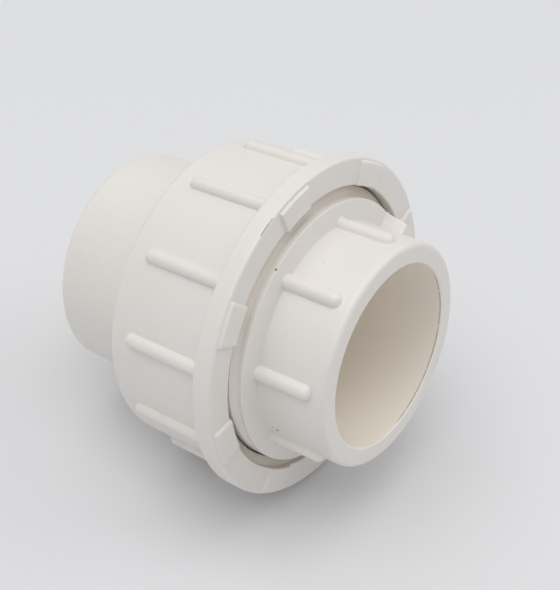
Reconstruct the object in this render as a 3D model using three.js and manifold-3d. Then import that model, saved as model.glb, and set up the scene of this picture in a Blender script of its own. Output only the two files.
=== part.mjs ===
// Union fitting for solvent-welded plastic pipe.
//
// Two socket ends are drawn together, face to face, by a ribbed coupling nut:
//   plain_end_connector    socket end with a plain hub; its flange is caught behind the nut's lip
//   union_nut              ribbed nut with an internal thread, a lip at one end and a flanged
//                          mouth with eight raised blocks at the other
//   threaded_end_connector socket end with a ribbed hub, a collar and an external thread
//   o_ring                 face seal, seated in a groove in the threaded end's sealing face
//
// Millimetres, +Z up. The pipe axis is X; the nut's mouth and the threaded end look along +X.
// The origin is on the pipe axis, at the middle of the assembled length.
// Angles about the axis start at +Z and grow towards -Y, which is right-handed about +X.

import * as THREE from 'three';
import { mergeVertices } from 'three/addons/utils/BufferGeometryUtils.js';
import Module from 'manifold-3d';

// ---------- driving dimensions (stations are measured from the nut's mouth face) ----------
const SEG = 48;                  // facets round a full circle
const THREAD_SEG = 32;           // steps in one turn of a thread
const GAP = 0.3;                 // running gap between neighbouring pieces

const NEAR_END = 21.75;          // end face of the threaded end's socket
const FAR_END = -65.55;          // end face of the plain end's socket
const SHIFT = -(NEAR_END + FAR_END) / 2;   // moves the middle of the length to the origin

const PIPE_R = 25.0;             // socket bore radius, nominal 50 mm pipe
const SOCKET_DEPTH = 31.0;       // socket depth to the stop shoulder
const BORE_R = 22.0;             // through bore between the two stops
const ENTRY = 0.4;               // entry chamfer of each socket
const HUB_R = 30.8;              // outer radius of the plain hub
const NEAR_HUB_R = 30.4;         // outer radius of the ribbed hub
const HUB_EDGE = 1.4;            // rounding of the hubs' outer end edges

const NUT_LENGTH = 36.3;         // mouth face to the far face
const NUT_BODY_R = 42.6;         // nut body
const NUT_FAR_R = 42.3;          // nut body at its far edge
const NUT_FAR_EDGE = 1.6;        // rounding of the far edge
const LIP_T = 5.0;               // retaining lip thickness
const LIP_R = 31.4;              // lip bore, slides over the plain hub
const FLANGE_R = 46.65;          // nut flange
const FLANGE_T = 5.4;
const FLANGE_EDGE = 0.7;
const THREAD_MAJOR = 39.1;       // root of the nut's internal thread, and the mouth opening
const MOUTH_CHAMFER = 0.5;

const BLOCK_COUNT = 8;           // raised blocks on the nut's mouth face
const BLOCK_DEG = 15;
const BLOCK_FIRST = 7.5;
const BLOCK_H = 0.85;
const BLOCK_R = 46.0;            // outer side of the blocks, just inside the flange's rim
const BLOCK_SLOPE = 0.5;         // their outer side leans in by this much

const NUT_RIBS = 12;             // half-round ribs along the nut body
const NUT_RIB_FIRST = 11;
const NUT_RIB_W = 3.7;
const NUT_RIB_H = 1.9;
const NUT_RIB_END = -30.3;

const COLLAR_X = 1.75;           // collar face of the threaded end, at the rim
const COLLAR_ROOT = 2.6;         // the same face where it meets the hub
const CORE_R = 36.15;            // collar and thread core
const SEAL_X = -25.0;            // sealing face of the threaded end
const HUB_RIBS = 8;              // ribs along the threaded end's hub
const HUB_RIB_FIRST = 28.5;
const HUB_RIB_W = 4.0;
const HUB_RIB_H = 2.0;
const HUB_RIB_END = 18.3;
const TAB_INDEX = 6;             // this rib position carries a short tall tab instead
const TAB_AT = 299.5;
const TAB_W = 4.6;
const TAB_END = 9.2;

const PITCH = 6.0;               // coupling thread, right-handed
const TOOTH_H = 2.45;
const TOOTH_BASE = 3.3;
const TOOTH_CREST = 1.7;
const MALE_FROM = -22.8, MALE_TURNS = 3.73, MALE_PHASE = 221;
const FEMALE_FROM = -20.5, FEMALE_TURNS = 3.0;

const PLAIN_FLANGE_R = 36.0;     // flange of the plain end, caught behind the nut's lip
const FACE_GAP = 0.6;            // between the two sealing faces, crossed by the O-ring

const RING_R = 29.4;             // O-ring centre-line radius
const RING_D = 3.3;              // O-ring cord
const GROOVE_W = 4.2;
const GROOVE_D = 3.3;

// ---------- solid helpers ----------
const wasm = await Module();
wasm.setup();

function toSolid(geometry) {
  let g = geometry.clone();
  for (const name of Object.keys(g.attributes)) if (name !== 'position') g.deleteAttribute(name);
  g = mergeVertices(g, 1e-4);
  const p = g.attributes.position, idx = [];
  for (let i = 0; i < g.index.count; i += 3) {
    const [a, b, c] = [g.index.getX(i), g.index.getX(i + 1), g.index.getX(i + 2)];
    if (a !== b && b !== c && c !== a) idx.push(a, b, c);
  }
  let vol = 0;
  const A = new THREE.Vector3(), B = new THREE.Vector3(), C = new THREE.Vector3();
  for (let i = 0; i < idx.length; i += 3) {
    A.fromBufferAttribute(p, idx[i]); B.fromBufferAttribute(p, idx[i + 1]); C.fromBufferAttribute(p, idx[i + 2]);
    vol += A.dot(B.cross(C));
  }
  if (vol < 0) for (let i = 0; i < idx.length; i += 3) [idx[i], idx[i + 1]] = [idx[i + 1], idx[i]];
  return new wasm.Manifold(new wasm.Mesh({
    numProp: 3, vertProperties: new Float32Array(p.array), triVerts: new Uint32Array(idx),
  }));
}

function toGeometry(solid) {
  const m = solid.getMesh();
  const g = new THREE.BufferGeometry();
  const v = new Float32Array(m.numVert * 3);
  for (let i = 0; i < m.numVert; i++) for (let k = 0; k < 3; k++) v[3 * i + k] = m.vertProperties[i * m.numProp + k];
  g.setAttribute('position', new THREE.BufferAttribute(v, 3));
  g.setIndex(Array.from(m.triVerts));
  g.computeVertexNormals();
  return g;
}

// Body of revolution about X. profile: closed list of [station, radius].
function revolve(profile, segments = SEG) {
  const pts = profile.map(([x, r]) => new THREE.Vector2(r, x));
  pts.push(pts[0].clone());
  const g = new THREE.LatheGeometry(pts, segments);
  g.rotateZ(-Math.PI / 2);
  return toSolid(g);
}

// A bar that follows the axis at a given angle. section: Shape in (tangential, radial);
// the bar runs from station x0 to x1 and its vertices may be moved by shape(u, r, x) first.
function bar(section, x0, x1, angleDeg, steps, reshape) {
  const g = new THREE.ExtrudeGeometry(section, { depth: 1, steps, bevelEnabled: false, curveSegments: 6 });
  const p = g.attributes.position, t = THREE.MathUtils.degToRad(angleDeg);
  for (let i = 0; i < p.count; i++) {
    let u = p.getX(i), r = p.getY(i), x = x0 + (x1 - x0) * p.getZ(i);
    if (reshape) [u, r, x] = reshape(u, r, x);
    // u is tangential (towards growing angle), r is radial
    p.setXYZ(i, x, -(r * Math.sin(t) + u * Math.cos(t)), r * Math.cos(t) - u * Math.sin(t));
  }
  return toSolid(g);
}

// Half-round rib on a cylinder of radius base, rising h, width w, from x0 to x1;
// the end at x1 is free and rounded off.
function rib(base, w, h, x0, x1, angleDeg) {
  const s = new THREE.Shape();
  const n = 5, sink = 1.2;
  s.moveTo(-w / 2, base - sink);
  s.lineTo(w / 2, base - sink);
  for (let i = 0; i <= n; i++) {
    const a = Math.PI * i / n;
    s.lineTo(w / 2 * Math.cos(a), base - 0.15 + (h + 0.15) * Math.sin(a));
  }
  const dir = Math.sign(x1 - x0), steps = 3, len = Math.abs(x1 - x0), round = Math.min(w / 2, len / 3);
  const cuts = [0, (len - round) / len, (len - round * 0.35) / len, 1];
  return bar(s, 0, steps, angleDeg, steps, (u, r, x) => {
    const k = Math.round(x), d = cuts[k] * len, over = Math.max(0, d - (len - round)) / round;
    const f = Math.sqrt(Math.max(0, 1 - over * over));
    const g = k === steps ? 0.22 : Math.max(0.22, f);
    return [u * g, r > base - sink + 1e-6 ? base - 0.15 + (r - base + 0.15) * g : r, x0 + dir * d];
  });
}

// Helical tooth. inward = -1 for teeth that point at the axis. Heights run out at both ends.
function helix(rBase, inward, from, turns, phaseDeg) {
  const s = new THREE.Shape();
  const sink = 0.5, base = TOOTH_BASE + sink * (TOOTH_BASE - TOOTH_CREST) / TOOTH_H;
  s.moveTo(-sink, -base / 2);
  s.lineTo(TOOTH_H, -TOOTH_CREST / 2);
  s.lineTo(TOOTH_H, TOOTH_CREST / 2);
  s.lineTo(-sink, base / 2);
  const steps = Math.round(THREAD_SEG * turns);
  const g = new THREE.ExtrudeGeometry(s, { depth: 1, steps, bevelEnabled: false });
  const p = g.attributes.position;
  for (let i = 0; i < p.count; i++) {
    const u = p.getX(i), v = p.getY(i), t = p.getZ(i);
    const lead = Math.min(1, Math.min(t, 1 - t) * turns * 8);      // full height after 1/8 turn
    const h = u > 0 ? u * Math.max(0.12, lead) : u;
    const a = THREE.MathUtils.degToRad(phaseDeg) + 2 * Math.PI * turns * t;
    const r = rBase + (inward < 0 ? -h : h);
    p.setXYZ(i, from + PITCH * turns * t + v, -r * Math.sin(a), r * Math.cos(a));
  }
  return toSolid(g);
}

// Rounded outer corner, from [x0, r1] to [x1, r0] style point lists.
function corner(cx, cr, rad, a0, a1, n = 3) {
  const out = [];
  for (let i = 0; i <= n; i++) {
    const a = THREE.MathUtils.degToRad(a0 + (a1 - a0) * i / n);
    out.push([cx + rad * Math.cos(a), cr + rad * Math.sin(a)]);
  }
  return out;
}

// ---------- threaded end ----------
let threaded = revolve([
  [NEAR_END, PIPE_R + ENTRY],
  ...corner(NEAR_END - HUB_EDGE, NEAR_HUB_R - HUB_EDGE, HUB_EDGE, 0, 90),
  [COLLAR_ROOT + 0.35, NEAR_HUB_R],
  [COLLAR_ROOT, NEAR_HUB_R + 0.35],
  [COLLAR_X, CORE_R - 0.3],
  [COLLAR_X - 0.3, CORE_R],
  [SEAL_X + 1.2, CORE_R],
  [SEAL_X, CORE_R - 1.2],
  [SEAL_X, RING_R + GROOVE_W / 2],
  [SEAL_X + GROOVE_D, RING_R + GROOVE_W / 2],
  [SEAL_X + GROOVE_D, RING_R - GROOVE_W / 2],
  [SEAL_X, RING_R - GROOVE_W / 2],
  [SEAL_X, BORE_R],
  [NEAR_END - SOCKET_DEPTH, BORE_R],
  [NEAR_END - SOCKET_DEPTH, PIPE_R - 0.1],
  [NEAR_END - ENTRY, PIPE_R],
]);
threaded = threaded.add(helix(CORE_R, 1, MALE_FROM, MALE_TURNS, MALE_PHASE));
for (let k = 0; k < HUB_RIBS; k++) {
  const angle = k === TAB_INDEX ? TAB_AT : HUB_RIB_FIRST + k * 360 / HUB_RIBS;
  if (k !== TAB_INDEX) {
    threaded = threaded.add(rib(NEAR_HUB_R, HUB_RIB_W, HUB_RIB_H, COLLAR_X - 0.6, HUB_RIB_END, angle));
    continue;
  }
  // short tall tab: level with the collar rim, falling slightly to its free end
  const s = new THREE.Shape();
  s.moveTo(-TAB_W / 2, NEAR_HUB_R - 1.2);
  s.lineTo(TAB_W / 2, NEAR_HUB_R - 1.2);
  s.lineTo(TAB_W / 2, CORE_R - 0.5);
  s.lineTo(TAB_W / 2 - 0.5, CORE_R);
  s.lineTo(-TAB_W / 2 + 0.5, CORE_R);
  s.lineTo(-TAB_W / 2, CORE_R - 0.5);
  threaded = threaded.add(bar(s, COLLAR_X - 0.6, TAB_END, angle, 1, (u, r, x) => {
    const far = x > COLLAR_X;
    return [u, r > NEAR_HUB_R ? (far ? r - 1.6 : r - 0.1) : r, far && r > NEAR_HUB_R ? x - 0.3 : x];
  }));
}

// ---------- plain end ----------
const PLAIN_FACE = SEAL_X - FACE_GAP;
const LIP_FACE = -NUT_LENGTH + LIP_T;
const plain = revolve([
  [FAR_END, PIPE_R + ENTRY],
  [FAR_END + ENTRY, PIPE_R],
  [FAR_END + SOCKET_DEPTH, PIPE_R - 0.1],
  [FAR_END + SOCKET_DEPTH, BORE_R],
  [PLAIN_FACE, BORE_R],
  [PLAIN_FACE, PLAIN_FLANGE_R - 0.6],
  [PLAIN_FACE - 0.6, PLAIN_FLANGE_R],
  [LIP_FACE + GAP, PLAIN_FLANGE_R],
  [LIP_FACE + GAP, HUB_R],
  ...corner(FAR_END + HUB_EDGE, HUB_R - HUB_EDGE, HUB_EDGE, 90, 180),
]);

// ---------- nut ----------
const R2 = NUT_FAR_EDGE;
let nut = revolve([
  [-MOUTH_CHAMFER, THREAD_MAJOR],
  [0, THREAD_MAJOR + MOUTH_CHAMFER],
  ...corner(-FLANGE_EDGE, FLANGE_R - FLANGE_EDGE, FLANGE_EDGE, 0, 90, 2),
  ...corner(-FLANGE_T + FLANGE_EDGE, FLANGE_R - FLANGE_EDGE, FLANGE_EDGE, 90, 180, 2),
  [-FLANGE_T, NUT_BODY_R + 0.5],
  [-FLANGE_T - 0.5, NUT_BODY_R],
  ...corner(-NUT_LENGTH + R2, NUT_FAR_R - R2, R2, 90, 180),
  [-NUT_LENGTH, LIP_R + 0.4],
  [-NUT_LENGTH + 0.4, LIP_R],
  [LIP_FACE, LIP_R],
  [LIP_FACE, THREAD_MAJOR - 0.8],
  [LIP_FACE + 0.8, THREAD_MAJOR],
]);
nut = nut.add(helix(THREAD_MAJOR, -1, FEMALE_FROM, FEMALE_TURNS,
  MALE_PHASE + 360 * (FEMALE_FROM - MALE_FROM) / PITCH - 180));
for (let k = 0; k < NUT_RIBS; k++) {
  nut = nut.add(rib(NUT_BODY_R, NUT_RIB_W, NUT_RIB_H, -FLANGE_T + 0.6, NUT_RIB_END,
    NUT_RIB_FIRST + k * 360 / NUT_RIBS));
}
for (let k = 0; k < BLOCK_COUNT; k++) {
  const mid = BLOCK_FIRST + k * 360 / BLOCK_COUNT, half = BLOCK_DEG / 2;
  const s = new THREE.Shape(), list = [];
  for (const [r, dirs] of [[BLOCK_R, [-half, 0, half]], [THREAD_MAJOR + 0.05, [half, 0, -half]]]) {
    for (const d of dirs) {
      const t = THREE.MathUtils.degToRad(d);
      list.push([r * Math.sin(t), r * Math.cos(t)]);
    }
  }
  list.forEach(([u, r], i) => (i ? s.lineTo(u, r) : s.moveTo(u, r)));
  nut = nut.add(bar(s, -1.2, BLOCK_H, mid, 1, (u, r, x) => {
    const f = x > 0 && Math.hypot(u, r) > BLOCK_R - 0.1 ? 1 - BLOCK_SLOPE / BLOCK_R : 1;
    return [u * f, r * f, x];
  }));
}

// ---------- O-ring ----------
const cord = [];
for (let i = 0; i < 8; i++) {
  const a = 2 * Math.PI * (i + 0.5) / 8;
  cord.push([SEAL_X - GAP + RING_D / 2 + RING_D / 2 * Math.cos(a), RING_R + RING_D / 2 * Math.sin(a)]);
}
const ring = revolve(cord);

// ---------- assembly ----------
const pvc = () => new THREE.MeshStandardMaterial({ color: 0xeae6e1, roughness: 0.38, metalness: 0.0 });
const group = new THREE.Group();
group.name = 'union_fitting';
function place(name, solid, material) {
  const mesh = new THREE.Mesh(toGeometry(solid), material);
  mesh.name = name;
  mesh.position.x = SHIFT;
  group.add(mesh);
}
place('threaded_end_connector', threaded, pvc());
place('plain_end_connector', plain, pvc());
place('union_nut', nut, pvc());
place('o_ring', ring, new THREE.MeshStandardMaterial({ color: 0x1c1c1d, roughness: 0.7, metalness: 0.0 }));

export default group;
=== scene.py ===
# Union fitting: fine surfaces, materials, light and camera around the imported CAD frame.
import math

import bmesh
import bpy
import numpy as np
from mathutils import Matrix, Vector


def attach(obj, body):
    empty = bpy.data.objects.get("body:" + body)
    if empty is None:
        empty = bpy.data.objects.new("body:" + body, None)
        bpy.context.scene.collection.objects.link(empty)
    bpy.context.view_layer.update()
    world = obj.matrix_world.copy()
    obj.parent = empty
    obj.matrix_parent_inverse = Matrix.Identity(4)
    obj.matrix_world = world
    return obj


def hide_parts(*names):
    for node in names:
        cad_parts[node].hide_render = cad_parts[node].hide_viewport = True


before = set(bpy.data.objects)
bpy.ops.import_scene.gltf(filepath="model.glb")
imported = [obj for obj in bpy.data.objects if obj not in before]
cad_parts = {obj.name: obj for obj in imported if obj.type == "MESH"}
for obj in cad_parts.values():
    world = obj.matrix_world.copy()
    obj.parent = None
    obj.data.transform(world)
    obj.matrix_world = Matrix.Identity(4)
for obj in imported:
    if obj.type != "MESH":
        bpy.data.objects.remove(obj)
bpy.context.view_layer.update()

# ------------------------------------------------------------------ dimensions
# Millimetres. Stations are measured along the pipe axis from the nut's mouth face, + towards the threaded end.
NEAR_END, FAR_END = 21.75, -65.55
SHIFT = -(NEAR_END + FAR_END) / 2
PIPE_R, SOCKET_DEPTH, BORE_R = 25.0, 31.0, 22.0
HUB_R, NEAR_HUB_R, HUB_EDGE = 30.8, 30.4, 1.4
NUT_LENGTH, NUT_BODY_R, NUT_FAR_R, NUT_FAR_EDGE = 36.3, 42.6, 42.3, 1.6
LIP_T, LIP_R = 5.0, 31.4
FLANGE_R, FLANGE_T, FLANGE_EDGE = 46.65, 5.4, 0.7
THREAD_MAJOR = 39.1
BLOCK_COUNT, BLOCK_DEG, BLOCK_FIRST, BLOCK_H = 8, 15.0, 7.5, 0.85
NUT_RIBS, NUT_RIB_FIRST, NUT_RIB_END, NUT_RIB_RAD = 12, 11.0, -30.3, 1.87
COLLAR_X, COLLAR_ROOT, CORE_R, SEAL_X = 1.75, 2.6, 36.15, -25.0
HUB_RIBS, HUB_RIB_FIRST, HUB_RIB_END, HUB_RIB_RAD = 8, 28.5, 18.3, 2.03
TAB_INDEX, TAB_AT, TAB_END, TAB_HALF = 6, 299.5, 9.2, 2.3
PITCH, TOOTH_H, TOOTH_BASE, TOOTH_CREST = 6.0, 2.45, 3.3, 1.7
MALE_FROM, MALE_TURNS, MALE_PHASE = -22.8, 3.73, 221.0
FEMALE_FROM, FEMALE_TURNS = -20.5, 3.0
PLAIN_FLANGE_R, FACE_GAP, GAP = 36.0, 0.6, 0.3
RING_R, RING_D, GROOVE_W, GROOVE_D = 29.4, 3.3, 4.2, 3.3


# ------------------------------------------------------------------ surface tools
def smin(a, b, k):
    return np.minimum(a, b) - np.maximum(k - np.abs(a - b), 0) ** 2 / (4 * k)


def solve_height(dist, top, shape, fillet):
    """Height of the smooth union of a surface (height 0) and a feature whose distance is dist(height)."""
    lo, hi = np.zeros(shape), np.full(shape, top)
    for _ in range(40):
        mid = (lo + hi) / 2
        out = smin(mid, dist(mid), fillet) > 0
        hi = np.where(out, mid, hi)
        lo = np.where(out, lo, mid)
    return (lo + hi) / 2


def rod(u, x, xa, xb, rad, fillet):
    """Height of a half-sunk rod with round ends that lies on a surface."""
    u, x = np.broadcast_arrays(u, x)
    dx = np.maximum(0, np.maximum(xa - x, x - xb))
    near = (np.abs(u) < rad + 2) & (dx < rad + 2)
    h = np.zeros(u.shape)
    if near.any():
        uu, dd = u[near], dx[near]
        h[near] = solve_height(lambda z: np.sqrt(uu**2 + dd**2 + z**2) - rad, rad + 1, uu.shape, fillet)
    return h


def slab(u, x, half, xa, xb, top, edge, fillet):
    """Height of a flat-topped, round-edged slab standing on a surface. top is its height at each x."""
    u, x, top = np.broadcast_arrays(u, x, top)
    near = (np.abs(u) < half + 2) & (x > xa - 2) & (x < xb + 2)
    h = np.zeros(u.shape)
    if near.any():
        uu, xx, tt = u[near], x[near], top[near]
        qu = np.abs(uu) - (half - edge)
        qx = np.maximum(xa - xx, xx - xb) + edge

        def dist(z):
            qz = z - (tt - edge)
            out = np.sqrt(np.maximum(qu, 0) ** 2 + np.maximum(qx, 0) ** 2 + np.maximum(qz, 0) ** 2)
            return out + np.minimum(np.maximum(np.maximum(qu, qx), qz), 0) - edge

        h[near] = solve_height(dist, float(tt.max()) + 1, uu.shape, fillet)
    return h


def angles(step, groups):
    """Sorted angles in degrees over a full turn: an even step, and each group's offsets about its centres."""
    fine = sorted({round((c + o) % 360, 4) for cs, os in groups for c in cs for o in os})
    keep = []
    for a in fine:
        if not keep or a - keep[-1] > 0.02:
            keep.append(a)
    fine = np.array(keep)
    out = list(keep)
    for a in np.arange(0, 360, step):
        if not len(fine) or np.min(np.abs((fine - a + 180) % 360 - 180)) > step * 0.35:
            out.append(float(a))
    out = sorted(out)
    return np.radians(np.array(out + [out[0] + 360]))


def build(name, lines, psi):
    """A closed surface of revolution-like lines. lines: [(station, radius)], each a number or an array over psi."""
    J = len(psi) - 1                                     # the last angle repeats the first
    X = np.array([np.broadcast_to(np.asarray(x, float), (J + 1,)) for x, r in lines])
    R = np.array([np.broadcast_to(np.asarray(r, float), (J + 1,)) for x, r in lines])
    M = len(lines)
    s, c = np.sin(psi), np.cos(psi)
    co = np.stack([X + SHIFT, -R * s, R * c], axis=-1)
    # neighbouring lines that run together share their points
    index = np.arange(M * (J + 1)).reshape(M, J + 1)
    for i in range(1, M):
        same = np.abs(co[i] - co[i - 1]).max(axis=-1) < 2e-3
        index[i] = np.where(same, index[i - 1], index[i])
        co[i] = np.where(same[:, None], co[i - 1], co[i])
    # at the seam a helix line carries on as the next turn's line, so the two columns are joined point by point
    head, tail = list(dict.fromkeys(index[:, 0].tolist())), list(dict.fromkeys(index[:, J].tolist()))
    flat = co.reshape(-1, 3)
    if len(head) != len(tail) or np.abs(flat[head] - flat[tail]).max() > 0.01:
        raise ValueError(f"{name}: the seam does not close ({len(head)}, {len(tail)})")
    join = dict(zip(tail, head))
    index[:, J] = [join[v] for v in index[:, J].tolist()]
    here, nxt = index[:, :J], index[:, 1:]
    below, below_nxt = np.roll(here, -1, axis=0), np.roll(nxt, -1, axis=0)
    quads = np.stack([here, nxt, below_nxt, below], axis=-1).reshape(-1, 4)
    used, inverse = np.unique(index.reshape(-1), return_inverse=True)
    lookup = np.zeros(M * (J + 1), dtype=np.int64)
    lookup[used] = np.arange(len(used))
    faces = []
    for q in lookup[quads].tolist():
        f = [v for k, v in enumerate(q) if v != q[k - 1]]
        if len(f) >= 3 and len(set(f)) == len(f):
            faces.append(f)
    verts = flat[used] * 0.001
    me = bpy.data.meshes.new(name)
    me.from_pydata(verts.tolist(), [], faces)
    me.update()
    bm = bmesh.new()
    bm.from_mesh(me)
    loose = [v for v in bm.verts if not v.link_faces]
    bmesh.ops.delete(bm, geom=loose, context="VERTS")
    if bm.calc_volume(signed=True) < 0:
        bmesh.ops.reverse_faces(bm, faces=bm.faces)
    open_edges = sum(1 for e in bm.edges if len(e.link_faces) != 2)
    for e in bm.edges:
        e.smooth = len(e.link_faces) == 2 and e.calc_face_angle(0.0) < math.radians(38)
    for f in bm.faces:
        f.smooth = True
    bm.to_mesh(me)
    print(name, "faces", len(bm.faces), "open", open_edges, "cm3", round(bm.calc_volume() * 1e6, 2))
    bm.free()
    obj = bpy.data.objects.new(name, me)
    bpy.context.scene.collection.objects.link(obj)
    return obj


def arc(cx, cr, rad, a0, a1, n):
    """Points on a rounded edge, centre (cx, cr)."""
    t = np.radians(np.linspace(a0, a1, n + 1))
    return [(cx + rad * math.cos(a), cr + rad * math.sin(a)) for a in t]


def tooth(w, crest_r=0.35, root_r=0.35):
    """Height share (0 to 1) of the thread tooth at a distance w from its centre, with rounded crest and root."""
    flank = (TOOTH_BASE / 2 - np.abs(w)) / ((TOOTH_BASE - TOOTH_CREST) / 2)
    k = 0.18
    low = smin(flank, np.ones_like(flank), k)             # round the crest
    return -smin(-low, np.zeros_like(flank), k)           # round the root


def thread_lines(psi, base, sign, start, turns, phase_deg, xa, xb):
    """Sheared lines that follow the helix between two plain stations, in order of rising station."""
    deg = np.degrees(psi)
    x_ref = start - PITCH * phase_deg / 360
    offs = [-3.0, -2.35, -1.95, -1.74, -1.58, -1.25, -0.97, -0.83, -0.62, 0.0]
    offs = offs + [-o for o in offs[1:-1]][::-1]
    first = math.floor((xa - x_ref - PITCH) / PITCH) - 1
    last = math.ceil((xb - x_ref) / PITCH) + 1
    out = []
    for k in range(first, last + 1):
        for o in offs:
            v = PITCH * k + o
            x = x_ref + PITCH * deg / 360 + v
            if x.max() <= xa or x.min() >= xb:
                continue
            along = (deg + 360 * k - phase_deg) / 360          # turns from the start of the tooth
            end = np.clip(np.minimum(along, turns - along) * 8, 0, 1)
            lead = end * end * (3 - 2 * end)
            h = TOOTH_H * lead * tooth(np.full_like(deg, o))
            inside = (x > xa) & (x < xb)
            out.append((np.clip(x, xa, xb), base + sign * np.where(inside, h, 0)))
    plain = np.full_like(deg, base)
    return [(np.full_like(deg, xa), plain)] + out + [(np.full_like(deg, xb), plain)]


def turned(psi, centre_deg):
    return (psi - math.radians(centre_deg) + math.pi) % (2 * math.pi) - math.pi


def rib_offsets(rad, at_r, n=7):
    u = [rad * math.sin(math.radians(t)) for t in np.linspace(0, 90, n)]
    u += [rad + 0.06, rad + 0.16, rad + 0.35, rad + 0.7]
    u = [math.degrees(v / at_r) for v in u]
    return [-v for v in u[:0:-1]] + u


# ------------------------------------------------------------------ threaded end
hub_rib_mid = [HUB_RIB_FIRST + k * 360 / HUB_RIBS for k in range(HUB_RIBS) if k != TAB_INDEX]
tab_mid = TAB_AT
tab_u = [0, 1.0, 1.6, 1.85, 2.0, 2.12, 2.2, 2.26, 2.29, 2.31, 2.34, 2.42, 2.6, 2.9, 3.4]
tab_o = [math.degrees(v / NEAR_HUB_R) for v in tab_u]
psi_t = angles(2.5, [(hub_rib_mid, rib_offsets(HUB_RIB_RAD, NEAR_HUB_R)),
                     ([tab_mid], [-v for v in tab_o[:0:-1]] + tab_o)])


def hub_height(x):
    """Height of the ribs and the tab over the threaded end's hub, at station x, all round."""
    h = np.zeros_like(psi_t)
    for m in hub_rib_mid:
        u = turned(psi_t, m) * NEAR_HUB_R
        h = np.maximum(h, rod(u, np.full_like(u, x), COLLAR_X - 6, HUB_RIB_END - HUB_RIB_RAD, HUB_RIB_RAD, 0.22))
    u = turned(psi_t, tab_mid) * NEAR_HUB_R
    top = (CORE_R - 0.2 - NEAR_HUB_R) - 1.5 * (x - COLLAR_X) / (TAB_END - COLLAR_X)
    return np.maximum(h, slab(u, np.full_like(u, x), TAB_HALF, COLLAR_X - 6, TAB_END, np.full_like(u, top), 0.28, 0.25))


def concave(d, rad):
    """Extra radius of a concave fillet at a distance d from the wall."""
    return 0.0 if d >= rad else rad - math.sqrt(max(0.0, rad**2 - (rad - d) ** 2))


hub_x = [2.6, 2.61, 2.64, 2.69, 2.76, 2.85, 2.98, 3.5, 4.6, 6.2, 7.6, 8.4, 8.75, 8.95, 9.08, 9.16, 9.19, 9.21, 9.24,
         9.32, 9.5, 9.85, 10.6, 12.0, 13.6, 15.0, 15.9, 16.3, 16.7, 17.05, 17.35, 17.62, 17.85, 18.03, 18.16, 18.25,
         18.30, 18.34, 18.40, 18.52, 18.75, 19.1, 19.7, 20.1]
lines = []
# socket mouth: end face from the inner edge outwards
lines += [(NEAR_END - 0.9, PIPE_R), (NEAR_END - 0.36, PIPE_R), (NEAR_END - 0.2, PIPE_R + 0.05)]
lines += [(NEAR_END - 0.08, PIPE_R + 0.14), (NEAR_END - 0.015, PIPE_R + 0.27), (NEAR_END, PIPE_R + 0.4), (NEAR_END, PIPE_R + 0.65)]
lines += [(NEAR_END, 26.6), (NEAR_END, 28.0), (NEAR_END, NEAR_HUB_R - HUB_EDGE - 0.15)]
lines += arc(NEAR_END - HUB_EDGE, NEAR_HUB_R - HUB_EDGE, HUB_EDGE, 0, 90, 8)
# hub, with ribs and tab, down to the collar
for x in reversed(hub_x[1:]):
    lines.append((x, NEAR_HUB_R + hub_height(x) + concave(x - COLLAR_ROOT, 0.25)))
rim = CORE_R - 0.32


def collar_x(r):
    """Station of the collar's face at radius r: it slopes gently from the hub out to the rim."""
    return COLLAR_ROOT + (COLLAR_X - COLLAR_ROOT) * (r - NEAR_HUB_R) / (rim - NEAR_HUB_R)


start = np.minimum(NEAR_HUB_R + hub_height(COLLAR_ROOT) + concave(0, 0.25), rim - 0.02)
for t in (0, 0.06, 0.2, 0.45, 0.75, 0.96, 1.0):
    lines.append((collar_x(start + (rim - start) * t), start + (rim - start) * t))
lines += arc(COLLAR_X - 0.3, CORE_R - 0.3, 0.3, 0, 90, 4)[1:]
lines += [(COLLAR_X - 0.36, CORE_R)]
lines += thread_lines(psi_t, CORE_R, 1, MALE_FROM, MALE_TURNS, MALE_PHASE, SEAL_X + 1.3, COLLAR_X - 0.4)[::-1]
# sealing face with the O-ring groove
lines += [(SEAL_X + 1.2, CORE_R), (SEAL_X + 0.15, CORE_R - 1.05), (SEAL_X, CORE_R - 1.25), (SEAL_X, CORE_R - 1.5)]
go, gi = RING_R + GROOVE_W / 2, RING_R - GROOVE_W / 2
lines += [(SEAL_X, go + 0.4), (SEAL_X, go + 0.15), (SEAL_X + 0.15, go), (SEAL_X + 0.4, go),
          (SEAL_X + GROOVE_D - 0.5, go), (SEAL_X + GROOVE_D - 0.15, go - 0.1), (SEAL_X + GROOVE_D, go - 0.5),
          (SEAL_X + GROOVE_D, gi + 0.5), (SEAL_X + GROOVE_D - 0.15, gi + 0.1), (SEAL_X + GROOVE_D - 0.5, gi),
          (SEAL_X + 0.4, gi), (SEAL_X + 0.15, gi), (SEAL_X, gi - 0.15), (SEAL_X, gi - 0.4)]
lines += [(SEAL_X, BORE_R + 0.6), (SEAL_X, BORE_R + 0.3), (SEAL_X + 0.3, BORE_R), (SEAL_X + 0.6, BORE_R)]
stop = NEAR_END - SOCKET_DEPTH
lines += [(-18.0, BORE_R), (stop - 0.5, BORE_R), (stop - 0.2, BORE_R), (stop, BORE_R + 0.2), (stop, BORE_R + 0.5),
          (stop, PIPE_R - 0.9), (stop + 0.1, PIPE_R - 0.4), (stop + 0.4, PIPE_R - 0.15), (stop + 0.8, PIPE_R - 0.1),
          (-2.0, PIPE_R - 0.08), (6.0, PIPE_R - 0.05), (14.0, PIPE_R - 0.02), (19.0, PIPE_R)]
threaded = build("threaded_end", lines, psi_t)

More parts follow.
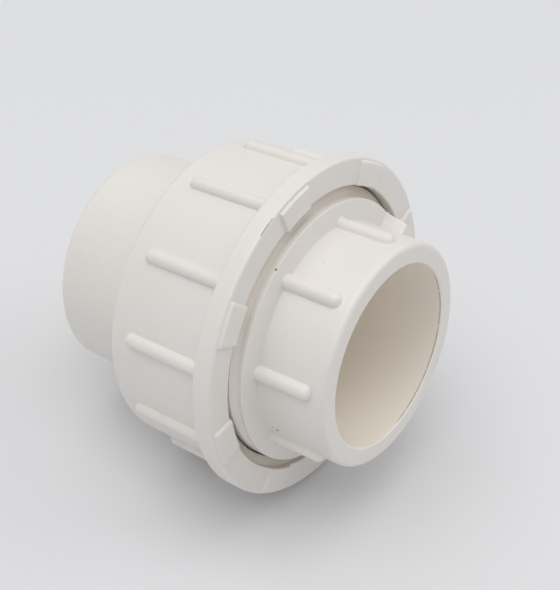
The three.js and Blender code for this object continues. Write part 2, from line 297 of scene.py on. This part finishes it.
# ------------------------------------------------------------------ plain end
psi_p = angles(1.6, [])
pf = SEAL_X - FACE_GAP
lip = -NUT_LENGTH + LIP_T
stop = FAR_END + SOCKET_DEPTH
lines = [(FAR_END + 0.9, PIPE_R), (FAR_END + 0.36, PIPE_R), (FAR_END + 0.2, PIPE_R + 0.05),
         (FAR_END + 0.08, PIPE_R + 0.14), (FAR_END + 0.015, PIPE_R + 0.27), (FAR_END, PIPE_R + 0.4),
         (FAR_END, PIPE_R + 0.65), (FAR_END, 26.6), (FAR_END, 28.0), (FAR_END, HUB_R - HUB_EDGE - 0.15)]
lines += arc(FAR_END + HUB_EDGE, HUB_R - HUB_EDGE, HUB_EDGE, 180, 90, 8)
lines += [(-63.8, HUB_R), (-60, HUB_R), (-54, HUB_R), (-48, HUB_R), (-42, HUB_R), (-36, HUB_R),
          (lip + GAP - 0.5, HUB_R), (lip + GAP - 0.1, HUB_R), (lip + GAP, HUB_R + 0.12), (lip + GAP, HUB_R + 0.5)]
lines += [(lip + GAP, PLAIN_FLANGE_R - 0.5), (lip + GAP, PLAIN_FLANGE_R - 0.25)]
lines += arc(lip + GAP + 0.2, PLAIN_FLANGE_R - 0.2, 0.2, 180, 90, 3)
lines += [(lip + GAP + 0.5, PLAIN_FLANGE_R), (pf - 1.0, PLAIN_FLANGE_R)]
lines += arc(pf - 0.6, PLAIN_FLANGE_R - 0.6, 0.6, 90, 0, 5)
lines += [(pf, PLAIN_FLANGE_R - 0.9), (pf, 30.0), (pf, BORE_R + 0.6), (pf, BORE_R + 0.3), (pf - 0.3, BORE_R), (pf - 0.6, BORE_R)]
lines += [(-30.0, BORE_R), (stop + 0.5, BORE_R), (stop + 0.2, BORE_R), (stop, BORE_R + 0.2), (stop, BORE_R + 0.5),
          (stop, PIPE_R - 0.9), (stop - 0.1, PIPE_R - 0.4), (stop - 0.4, PIPE_R - 0.15), (stop - 0.8, PIPE_R - 0.1),
          (-42.0, PIPE_R - 0.08), (-50.0, PIPE_R - 0.05), (-58.0, PIPE_R - 0.02), (-62.8, PIPE_R)]
plain = build("plain_end", lines, psi_p)

# ------------------------------------------------------------------ nut
nut_rib_mid = [NUT_RIB_FIRST + k * 360 / NUT_RIBS for k in range(NUT_RIBS)]
block_mid = [BLOCK_FIRST + k * 360 / BLOCK_COUNT for k in range(BLOCK_COUNT)]
edge_o = [-0.7, -0.28, -0.07, 0.0, 0.05, 0.14, 0.27, 0.45, 0.8, 1.4]     # degrees inside the block from its side
psi_n = angles(2.5, [
    (nut_rib_mid, rib_offsets(NUT_RIB_RAD, NUT_BODY_R, 6)),
    ([m - BLOCK_DEG / 2 for m in block_mid], edge_o),
    ([m + BLOCK_DEG / 2 for m in block_mid], [-o for o in edge_o]),
    ([BLOCK_FIRST], [0.55 * k for k in range(-18, 19)]),
])
rise = np.zeros_like(psi_n)
for m in block_mid:
    inside = (np.radians(BLOCK_DEG / 2) - np.abs(turned(psi_n, m))) * 43.0
    rise = np.maximum(rise, BLOCK_H * np.sin(math.pi / 2 * np.clip(inside / 0.6, 0, 1)))

# moulding flash: a ragged lip on the flange's edge, outside one block
lip_at = np.degrees(turned(psi_n, BLOCK_FIRST))
flash = np.clip(1.2 - np.abs(lip_at) / 8.5, 0, 1) ** 0.5
flash = flash * (0.08 + 0.13 * np.maximum(0, np.sin(lip_at * 1.9) * np.sin(lip_at * 0.83 + 1.0)) + 0.05 * np.sin(lip_at * 5.3))
flash = np.maximum(flash, 0)


def body_r(x):
    """Radius of the nut's body with its ribs, at station x."""
    base = NUT_BODY_R + (NUT_FAR_R - NUT_BODY_R) * (-FLANGE_T - x) / (NUT_LENGTH - FLANGE_T - NUT_FAR_EDGE)
    h = np.zeros_like(psi_n)
    for m in nut_rib_mid:
        u = turned(psi_n, m) * NUT_BODY_R
        h = np.maximum(h, rod(u, np.full_like(u, x), NUT_RIB_END + NUT_RIB_RAD, 0.0, NUT_RIB_RAD, 0.18))
    return base + h + concave(-FLANGE_T - x, 0.45)


lines = [(-0.62, THREAD_MAJOR), (rise - 0.45, THREAD_MAJOR), (rise - 0.25, THREAD_MAJOR + 0.07), (rise - 0.10, THREAD_MAJOR + 0.2),
         (rise - 0.02, THREAD_MAJOR + 0.36), (rise, THREAD_MAJOR + 0.5), (rise, THREAD_MAJOR + 0.75)]
lines += [(rise, 41.0), (rise, 42.5), (rise, 44.0), (rise, 44.9), (rise, 45.15)]
lines += [(rise * 0.97, 45.33), (rise * 0.88, 45.42), (rise * 0.2, 45.80), (rise * 0.06, 45.86), (0, 45.90)]
lip_share = [1.0, 0.9, 0.55, 0.25, 0.08, 0.0, 0.0]
lines += [(x + flash * k, r) for (x, r), k in zip(arc(-FLANGE_EDGE, FLANGE_R - FLANGE_EDGE, FLANGE_EDGE, 0, 90, 6), lip_share)]
lines += [(-0.85, FLANGE_R), (-2.9, FLANGE_R), (-FLANGE_T + FLANGE_EDGE + 0.15, FLANGE_R)]
lines += arc(-FLANGE_T + FLANGE_EDGE, FLANGE_R - FLANGE_EDGE, FLANGE_EDGE, 90, 180, 6)
start = body_r(-FLANGE_T)
rim = FLANGE_R - FLANGE_EDGE - 0.12
for t in (0, 0.35, 0.7, 0.93, 1.0):
    lines.append((-FLANGE_T, rim + (start - rim) * t))
for x in [-5.41, -5.44, -5.5, -5.6, -5.72, -5.86, -6.3, -8.5, -11.5, -15.0, -19.0, -23.0, -26.5, -28.2, -28.45, -28.8,
          -29.1, -29.4, -29.65, -29.87, -30.03, -30.16, -30.24, -30.30, -30.34, -30.42, -30.6, -31.0, -32.0, -33.4, -34.5]:
    lines.append((x, body_r(x)))
lines += arc(-NUT_LENGTH + NUT_FAR_EDGE, NUT_FAR_R - NUT_FAR_EDGE, NUT_FAR_EDGE, 90, 180, 8)
lines += [(-NUT_LENGTH, 40.4), (-NUT_LENGTH, 36.5), (-NUT_LENGTH, LIP_R + 0.8), (-NUT_LENGTH, LIP_R + 0.45),
          (-NUT_LENGTH + 0.12, LIP_R + 0.13), (-NUT_LENGTH + 0.45, LIP_R), (-NUT_LENGTH + 0.9, LIP_R),
          (lip - 0.6, LIP_R), (lip - 0.2, LIP_R), (lip, LIP_R + 0.2), (lip, LIP_R + 0.6), (lip, 35.0),
          (lip, THREAD_MAJOR - 1.1)]
lines += arc(lip + 0.8, THREAD_MAJOR - 0.8, 0.8, 180, 90, 4)
lines += [(lip + 1.2, THREAD_MAJOR)]
lines += thread_lines(psi_n, THREAD_MAJOR, -1, FEMALE_FROM, FEMALE_TURNS,
                      MALE_PHASE + 360 * (FEMALE_FROM - MALE_FROM) / PITCH - 180, -24.0, -0.7)
nut = build("coupling_nut", lines, psi_n)

# ------------------------------------------------------------------ O-ring
psi_o = angles(2.0, [])
mid_x = SEAL_X - GAP + RING_D / 2
ring = build("face_seal", arc(mid_x, RING_R, RING_D / 2, 0, 360, 24)[:-1], psi_o)

for piece, body, node, slot in ((threaded, "threaded_end", "threaded_end_connector", "pvc_ends"),
                                (plain, "plain_end", "plain_end_connector", "pvc_ends"),
                                (nut, "nut", "union_nut", "pvc_nut"),
                                (ring, "threaded_end", "o_ring", "seal_rubber")):
    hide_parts(node)
    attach(piece, body)


# ------------------------------------------------------------------ materials
def nodes_of(name):
    mat = bpy.data.materials.new(name)
    mat.use_nodes = True
    nt = mat.node_tree
    nt.nodes.clear()
    out = nt.nodes.new("ShaderNodeOutputMaterial")
    bsdf = nt.nodes.new("ShaderNodeBsdfPrincipled")
    nt.links.new(bsdf.outputs["BSDF"], out.inputs["Surface"])
    return mat, nt, bsdf


def math_node(nt, op, a, b=None, c=None, clamp=False):
    n = nt.nodes.new("ShaderNodeMath")
    n.operation = op
    n.use_clamp = clamp
    for i, v in enumerate((a, b, c)):
        if v is None:
            continue
        if isinstance(v, (int, float)):
            n.inputs[i].default_value = v
        else:
            nt.links.new(v, n.inputs[i])
    return n.outputs[0]


def band(nt, value, lo, hi):
    """0 below lo, 1 above hi, smooth between; lo may be above hi."""
    n = nt.nodes.new("ShaderNodeMapRange")
    n.interpolation_type = "SMOOTHSTEP"
    n.inputs["From Min"].default_value = min(lo, hi)
    n.inputs["From Max"].default_value = max(lo, hi)
    n.inputs["To Min"].default_value = 0.0 if lo < hi else 1.0
    n.inputs["To Max"].default_value = 1.0 if lo < hi else 0.0
    nt.links.new(value, n.inputs["Value"])
    return n.outputs["Result"]


def mix(nt, fac, a, b, kind="MIX"):
    n = nt.nodes.new("ShaderNodeMix")
    n.data_type = "RGBA"
    n.blend_type = kind
    for sock, v in ((n.inputs["Factor"], fac), (n.inputs[6], a), (n.inputs[7], b)):
        if isinstance(v, (int, float)):
            sock.default_value = v
        elif isinstance(v, tuple):
            sock.default_value = (*v, 1.0)
        else:
            nt.links.new(v, sock)
    return n.outputs[2]


def place(nt):
    """Object position in millimetres, with the distance from the pipe axis and the station along it."""
    tc = nt.nodes.new("ShaderNodeTexCoord")
    scale = nt.nodes.new("ShaderNodeVectorMath")
    scale.operation = "SCALE"
    scale.inputs["Scale"].default_value = 1000.0
    nt.links.new(tc.outputs["Object"], scale.inputs[0])
    sep = nt.nodes.new("ShaderNodeSeparateXYZ")
    nt.links.new(scale.outputs[0], sep.inputs[0])
    yy = math_node(nt, "MULTIPLY", sep.outputs["Y"], sep.outputs["Y"])
    zz = math_node(nt, "MULTIPLY", sep.outputs["Z"], sep.outputs["Z"])
    radius = math_node(nt, "SQRT", math_node(nt, "ADD", yy, zz))
    station = math_node(nt, "SUBTRACT", sep.outputs["X"], SHIFT)
    return scale.outputs[0], radius, station


def about(nt, vec):
    """Angle about the pipe axis in degrees, 0 at +Z, growing towards -Y, from -180 to 180."""
    sep = nt.nodes.new("ShaderNodeSeparateXYZ")
    nt.links.new(vec, sep.inputs[0])
    t = math_node(nt, "ARCTAN2", math_node(nt, "MULTIPLY", sep.outputs["Y"], -1.0), sep.outputs["Z"])
    return math_node(nt, "MULTIPLY", t, 180 / math.pi)


def noise(nt, vec, scale, detail=2.0, rough=0.5):
    n = nt.nodes.new("ShaderNodeTexNoise")
    n.inputs["Scale"].default_value = scale
    n.inputs["Detail"].default_value = detail
    n.inputs["Roughness"].default_value = rough
    nt.links.new(vec, n.inputs["Vector"])
    return n.outputs["Fac"]


def near_point(nt, vec, point, lo, hi):
    """1 at the point, 0 beyond hi millimetres from it."""
    d = nt.nodes.new("ShaderNodeVectorMath")
    d.operation = "DISTANCE"
    nt.links.new(vec, d.inputs[0])
    d.inputs[1].default_value = point
    return band(nt, d.outputs["Value"], hi, lo)


def point_on(station, radius, deg):
    t = math.radians(deg)
    return (station + SHIFT, -radius * math.sin(t), radius * math.cos(t))


WHITE = (0.80, 0.772, 0.738)
# painted light: a colour paler than the white, which lifts the shaded inside of the sockets; it is also warmer in tone
BORE = (0.935, 0.872, 0.785)
WARM = (0.74, 0.66, 0.55)
# painted shade: the warm tan that stands in for the dim light between closely facing walls
PAINTED_SHADE_TAN = (0.60, 0.49, 0.36)


def pvc(name, specks, gap_shade, dark_marks=()):
    """Moulded white PVC. The gap-shade function (nt, radius, station) gives the share of a painted warm shade where
    walls face each other closely.
    """
    mat, nt, bsdf = nodes_of(name)
    vec, radius, station = place(nt)
    # broad, faint flow variation, and a finer mottle
    flow = noise(nt, vec, 0.035, 3.0, 0.55)
    fine = noise(nt, vec, 0.6, 4.0, 0.6)
    col = mix(nt, band(nt, flow, 0.35, 0.7), (WHITE[0] * 0.985, WHITE[1] * 0.98, WHITE[2] * 0.97), WHITE)
    col = mix(nt, math_node(nt, "MULTIPLY", band(nt, fine, 0.45, 0.75), 0.25), col, (WHITE[0] * 0.96, WHITE[1] * 0.95, WHITE[2] * 0.93))
    # painted shade: warm tan mixed in where walls face each other across a narrow gap
    col = mix(nt, gap_shade(nt, radius, station), col, PAINTED_SHADE_TAN)
    # painted light: inside the sockets (radius under about 25.3 mm) the colour turns paler than the white, and warmer
    col = mix(nt, math_node(nt, "MULTIPLY", band(nt, radius, 25.3, 25.05), 0.9), col, BORE)
    for (a0, a1, fade), (r0, r1), (x0, x1), soft, wobble, strength, shade in dark_marks:
        deg = about(nt, vec)
        jitter = math_node(nt, "MULTIPLY_ADD", noise(nt, vec, 0.9, 3.0, 0.6), wobble, -wobble / 2)
        f = math_node(nt, "MULTIPLY", band(nt, deg, a0 - fade, a0), band(nt, deg, a1 + fade, a1))
        rr = math_node(nt, "ADD", radius, jitter)
        f = math_node(nt, "MULTIPLY", f, math_node(nt, "MULTIPLY", band(nt, rr, r0 - soft, r0), band(nt, rr, r1 + soft, r1)))
        xx = math_node(nt, "ADD", station, jitter)
        f = math_node(nt, "MULTIPLY", f, math_node(nt, "MULTIPLY", band(nt, xx, x0 - soft, x0), band(nt, xx, x1 + soft, x1)))
        patch = band(nt, noise(nt, vec, 0.5, 4.0, 0.65), 0.25, 0.50)
        f = math_node(nt, "MULTIPLY", f, math_node(nt, "MULTIPLY", patch, strength))
        col = mix(nt, f, col, shade)
    for point, size, strength in specks:
        f = math_node(nt, "MULTIPLY", near_point(nt, vec, point, size * 0.5, size), strength)
        col = mix(nt, f, col, (0.07, 0.06, 0.05))
    nt.links.new(col, bsdf.inputs["Base Color"])
    # satin gloss with slight patches
    rough = nt.nodes.new("ShaderNodeMapRange")
    rough.inputs["To Min"].default_value = 0.30
    rough.inputs["To Max"].default_value = 0.44
    nt.links.new(noise(nt, vec, 0.12, 3.0, 0.6), rough.inputs["Value"])
    nt.links.new(rough.outputs["Result"], bsdf.inputs["Roughness"])
    # orange peel and a very fine grain
    peel = noise(nt, vec, 0.55, 2.0, 0.5)
    grain = noise(nt, vec, 6.0, 2.0, 0.5)
    height = math_node(nt, "MULTIPLY_ADD", grain, 0.12, peel)
    bump = nt.nodes.new("ShaderNodeBump")
    bump.inputs["Strength"].default_value = 0.25
    bump.inputs["Distance"].default_value = 0.00006
    nt.links.new(height, bump.inputs["Height"])
    nt.links.new(bump.outputs["Normal"], bsdf.inputs["Normal"])
    bsdf.inputs["IOR"].default_value = 1.53
    bsdf.inputs["Subsurface Weight"].default_value = 0.12
    bsdf.inputs["Subsurface Radius"].default_value = (1.0, 0.75, 0.5)
    bsdf.inputs["Subsurface Scale"].default_value = 0.0016
    return mat


# painted shade: a warm tan on the collar's side wall in the nut's mouth and on the thread further in; none in the bore
def gap_shade_threaded(nt, radius, station):
    bore = math_node(nt, "MULTIPLY", band(nt, radius, 25.3, 25.0), 0.0)
    side = math_node(nt, "MULTIPLY", band(nt, radius, 35.9, 36.1), 0.32)
    side = math_node(nt, "MULTIPLY", side, band(nt, station, 1.3, -0.4))
    deep = math_node(nt, "MULTIPLY", band(nt, radius, 35.9, 36.1), band(nt, station, -0.5, -1.6))
    side = math_node(nt, "MAXIMUM", side, math_node(nt, "MULTIPLY", deep, 0.28))
    return math_node(nt, "MAXIMUM", bore, side)


# no painted shade on the plain end: its share is zero everywhere
def gap_shade_plain(nt, radius, station):
    return math_node(nt, "MULTIPLY", band(nt, radius, 25.3, 25.0), 0.0)


# painted shade: a warm tan over the nut's inside, within the thread's major radius
def gap_shade_nut(nt, radius, station):
    inner = band(nt, radius, THREAD_MAJOR + 0.35, THREAD_MAJOR + 0.1)
    return math_node(nt, "MULTIPLY", inner, 0.34)


DARK = (0.05, 0.045, 0.035)
BROWN = (0.20, 0.14, 0.08)
specks_threaded = [(point_on(1.45, 36.1, 28.2), 0.42, 0.85), (point_on(5.4, 30.5, 109.6), 0.62, 0.9),
                   (point_on(4.1, 30.5, 108.4), 0.4, 0.7), (point_on(0.2, 36.3, 97.9), 0.5, 0.8),
                   (point_on(8.0, 30.4, 13.0), 0.22, 0.35)]
# stained moulding flash on the flange's edge, and a thin dark line inside the near socket's mouth
stains_nut = [((17.8, 23.8, 0.5), (46.44, 46.52), (-0.6, 0.2), 0.09, 0.10, 0.75, BROWN),
              ((0.5, 15.0, 1.0), (45.88, 46.4), (-0.5, 0.4), 0.2, 0.4, 0.14, BROWN)]
dark_line_threaded = [((-168.0, -70.0, 12.0), (24.8, 25.12), (21.0, 21.26), 0.08, 0.06, 0.6, BROWN)]
mat_threaded = pvc("pvc_threaded_end", specks_threaded, gap_shade_threaded, dark_line_threaded)
mat_plain = pvc("pvc_plain_end", [], gap_shade_plain)
mat_nut = pvc("pvc_nut", [], gap_shade_nut, stains_nut)

mat_rubber, nt, bsdf = nodes_of("epdm")
vec, radius, station = place(nt)
dust = noise(nt, vec, 1.5, 4.0, 0.7)
nt.links.new(mix(nt, band(nt, dust, 0.5, 0.8), (0.014, 0.014, 0.015), (0.035, 0.034, 0.033)), bsdf.inputs["Base Color"])
bsdf.inputs["Roughness"].default_value = 0.62
bump = nt.nodes.new("ShaderNodeBump")
bump.inputs["Strength"].default_value = 0.3
bump.inputs["Distance"].default_value = 0.00005
nt.links.new(noise(nt, vec, 4.0, 3.0, 0.6), bump.inputs["Height"])
nt.links.new(bump.outputs["Normal"], bsdf.inputs["Normal"])

for piece, mat in ((threaded, mat_threaded), (plain, mat_plain), (nut, mat_nut), (ring, mat_rubber)):
    piece.data.materials.clear()
    piece.data.materials.append(mat)
for node, mat in (("threaded_end_connector", mat_threaded), ("plain_end_connector", mat_plain),
                  ("union_nut", mat_nut), ("o_ring", mat_rubber)):
    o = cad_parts[node]
    if o.data.materials:
        o.data.materials[0] = mat
    else:
        o.data.materials.append(mat)

# ------------------------------------------------------------------ floor, light, camera
# The fitting lies on the back edge of its flange and the nut's far edge, so its axis rises towards +X.
TILT = math.radians(8.6)
ROLL = math.radians(-2.0)
up = Vector((math.sin(TILT), -math.cos(TILT) * math.sin(ROLL), math.cos(TILT) * math.cos(ROLL)))
low = min((Vector(v.co).dot(up) for v in nut.data.vertices))
floor_point = up * low
bm = bmesh.new()
side_a = up.cross(Vector((0, 1, 0))).normalized()
side_b = up.cross(side_a).normalized()
n = 24
grid = [[bm.verts.new(floor_point + side_a * (3.0 * (2 * i / n - 1)) + side_b * (3.0 * (2 * j / n - 1))) for j in range(n + 1)] for i in range(n + 1)]
for i in range(n):
    for j in range(n):
        bm.faces.new((grid[i][j], grid[i + 1][j], grid[i + 1][j + 1], grid[i][j + 1]))
bmesh.ops.recalc_face_normals(bm, faces=bm.faces)
me = bpy.data.meshes.new("floor")
bm.to_mesh(me)
bm.free()
floor = bpy.data.objects.new("floor", me)
bpy.context.scene.collection.objects.link(floor)
mat_floor, nt, bsdf = nodes_of("floor_paper")
tc = nt.nodes.new("ShaderNodeTexCoord")
fl = noise(nt, tc.outputs["Object"], 2.0, 2.0, 0.5)
nt.links.new(mix(nt, fl, (0.735, 0.738, 0.750), (0.755, 0.758, 0.770)), bsdf.inputs["Base Color"])
bsdf.inputs["Roughness"].default_value = 0.75
bsdf.inputs["Specular IOR Level"].default_value = 0.2
floor.data.materials.append(mat_floor)

# Camera: fitted to the fitting's circles. Rows are the frame's X, Y, Z seen in camera space (x right, y down, z ahead).
CAM_F = 1250.0
K = 25.0 / 26.79
axis = Vector((0.80008539, 0.31072739, -0.51313923))
cam_up = Vector((0.26155569, -0.95049907, -0.1677502))
cam_side = Vector((-0.53986294, 0.0, -0.84175293))
ZERO = math.radians(35.0)
row_z = (cam_up * math.cos(ZERO) + cam_side * math.sin(ZERO)).normalized()
row_x = axis.normalized()
row_y = row_z.cross(row_x).normalized()
origin = Vector((11.78832236, 9.62912402, 353.03867081)) * K - row_x * SHIFT      # the frame's origin in camera space, mm
place_at = -Vector((row_x.dot(origin), row_y.dot(origin), row_z.dot(origin))) * 0.001
right = Vector((row_x.x, row_y.x, row_z.x))
upward = -Vector((row_x.y, row_y.y, row_z.y))
back = -Vector((row_x.z, row_y.z, row_z.z))
m = Matrix((right, upward, back)).transposed().to_4x4()
m.translation = place_at
cam_data = bpy.data.cameras.new("camera")
cam = bpy.data.objects.new("camera", cam_data)
bpy.context.scene.collection.objects.link(cam)
cam_data.sensor_fit = "AUTO"
cam_data.sensor_width = 36.0
cam_data.lens = CAM_F / 590.0 * 36.0
cam_data.clip_start, cam_data.clip_end = 0.01, 20.0
cam.matrix_world = m
bpy.context.scene.camera = cam


def area(name, where, aim, size, watts, colour=(1, 1, 1), size_y=None):
    d = bpy.data.lights.new(name, "AREA")
    d.shape = "RECTANGLE"
    d.size = size
    d.size_y = size_y or size
    d.energy = watts
    d.color = colour
    o = bpy.data.objects.new(name, d)
    bpy.context.scene.collection.objects.link(o)
    o.location = where
    o.rotation_mode = "QUATERNION"
    o.rotation_quaternion = (Vector(aim) - Vector(where)).to_track_quat("-Z", "Y")
    return o


def from_view(r, u, b, dist):
    """A place given by its direction as the camera sees it: right, up, towards the camera."""
    d = (right * r + upward * u + back * b).normalized()
    return d * dist


area("key", Vector((0.04, -0.14, 0.96)).normalized() * 1.4, (0, 0, 0), 1.4, 11.0, (1.0, 0.995, 0.985))
area("front", Vector((0.62, 0.60, 0.58)).normalized() * 1.2, (0, 0, 0), 0.8, 2.2, (1.0, 0.995, 0.985))

world = bpy.data.worlds.new("world")
bpy.context.scene.world = world
world.use_nodes = True
bg = world.node_tree.nodes.get("Background")
bg.inputs["Color"].default_value = (0.97, 0.98, 1.0, 1.0)
bg.inputs["Strength"].default_value = 0.53
bpy.context.scene.view_settings.view_transform = "Standard"
